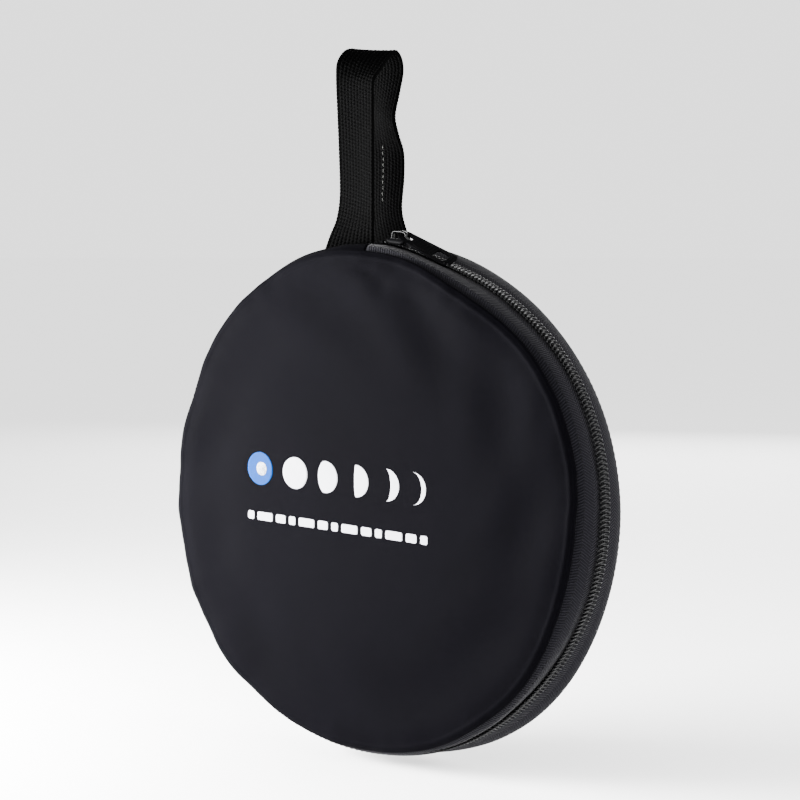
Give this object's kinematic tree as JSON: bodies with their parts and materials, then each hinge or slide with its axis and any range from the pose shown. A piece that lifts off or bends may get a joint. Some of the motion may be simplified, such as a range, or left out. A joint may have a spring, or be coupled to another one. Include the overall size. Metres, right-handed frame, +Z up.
{
  "type": "collapsible reflector disc in its pouch",
  "caption": "Collapsible photo reflector disc, folded into coils inside its round zipped nylon pouch with a webbing hanging loop.",
  "frame": {"origin": "inside of the top of the webbing loop, where a hook or a hand holds the pouch up", "axes": "+Z up along the hanging loop; -Y is the front of the pouch; +X is to the right of the loop as seen from the front, towards the zip slider"},
  "size_m": [0.2373, 0.0388, 0.3227],
  "materials": {
    "panel_nylon": "charcoal woven nylon, slightly lustrous",
    "zip_tape": "black herringbone zip tape",
    "zip_coil": "glossy black nylon coil",
    "zip_metal": "glossy black enamelled zinc",
    "binding_tape": "black woven binding tape",
    "webbing": "coarse black polypropylene webbing",
    "spring_steel": "flat spring steel",
    "white_cloth": "white translucent nylon",
    "silver_cloth": "silver foil-coated nylon",
    "gold_cloth": "gold foil-coated nylon"
  },
  "bodies": {
    "rear_shell": {"rear_panel": "panel_nylon", "rear_zip_tape": "zip_tape", "rear_zip_coil": "zip_coil", "rear_seam_binding": "binding_tape", "hinge_gusset": "panel_nylon", "zip_start_stop": "zip_metal", "zip_end_stop": "zip_metal", "handle_tail_front": "webbing", "handle_tail_rear": "webbing", "handle_patch": "panel_nylon", "spring_hoop": "spring_steel", "hoop_ferrule": "spring_steel", "hoop_binding": "binding_tape", "diffuser_cloth": "white_cloth", "cover_silver_cloth": "silver_cloth", "cover_gold_cloth": "gold_cloth"},
    "front_flap": {"front_panel": "panel_nylon", "front_zip_tape": "zip_tape", "front_zip_coil": "zip_coil", "front_seam_binding": "binding_tape"},
    "zip_slider": {"slider_body": "zip_metal", "slider_crown": "zip_metal"},
    "zip_pull": {"pull_tab": "zip_metal"},
    "handle": {"handle_webbing": "webbing"}
  },
  "joints": [
    {"name": "flap_open", "type": "hinge", "parent": "rear_shell", "child": "front_flap", "pos_m": [-0.03776, -0.0167, -0.10126], "axis": [-0.9063, 0, -0.4226], "range_deg": [0, 115]},
    {"name": "slider_travel", "type": "hinge", "parent": "rear_shell", "child": "zip_slider", "pos_m": [0.0094, -0.001, -0.2024], "axis": [0, 1, 0], "range_deg": [0, 299]},
    {"name": "pull_swing", "type": "hinge", "parent": "zip_slider", "child": "zip_pull", "pos_m": [0.02241, -0.004, -0.08174], "axis": [0, -1, 0], "range_deg": [0, 120]},
    {"name": "handle_fold", "type": "hinge", "parent": "rear_shell", "child": "handle", "pos_m": [0, 0.0102, -0.0856], "axis": [-1, 0, 0], "range_deg": [0, 90]}
  ],
  "couplings": [
    {"joint": "slider_travel", "follows": "flap_open", "ratio": 2.6}
  ]
}
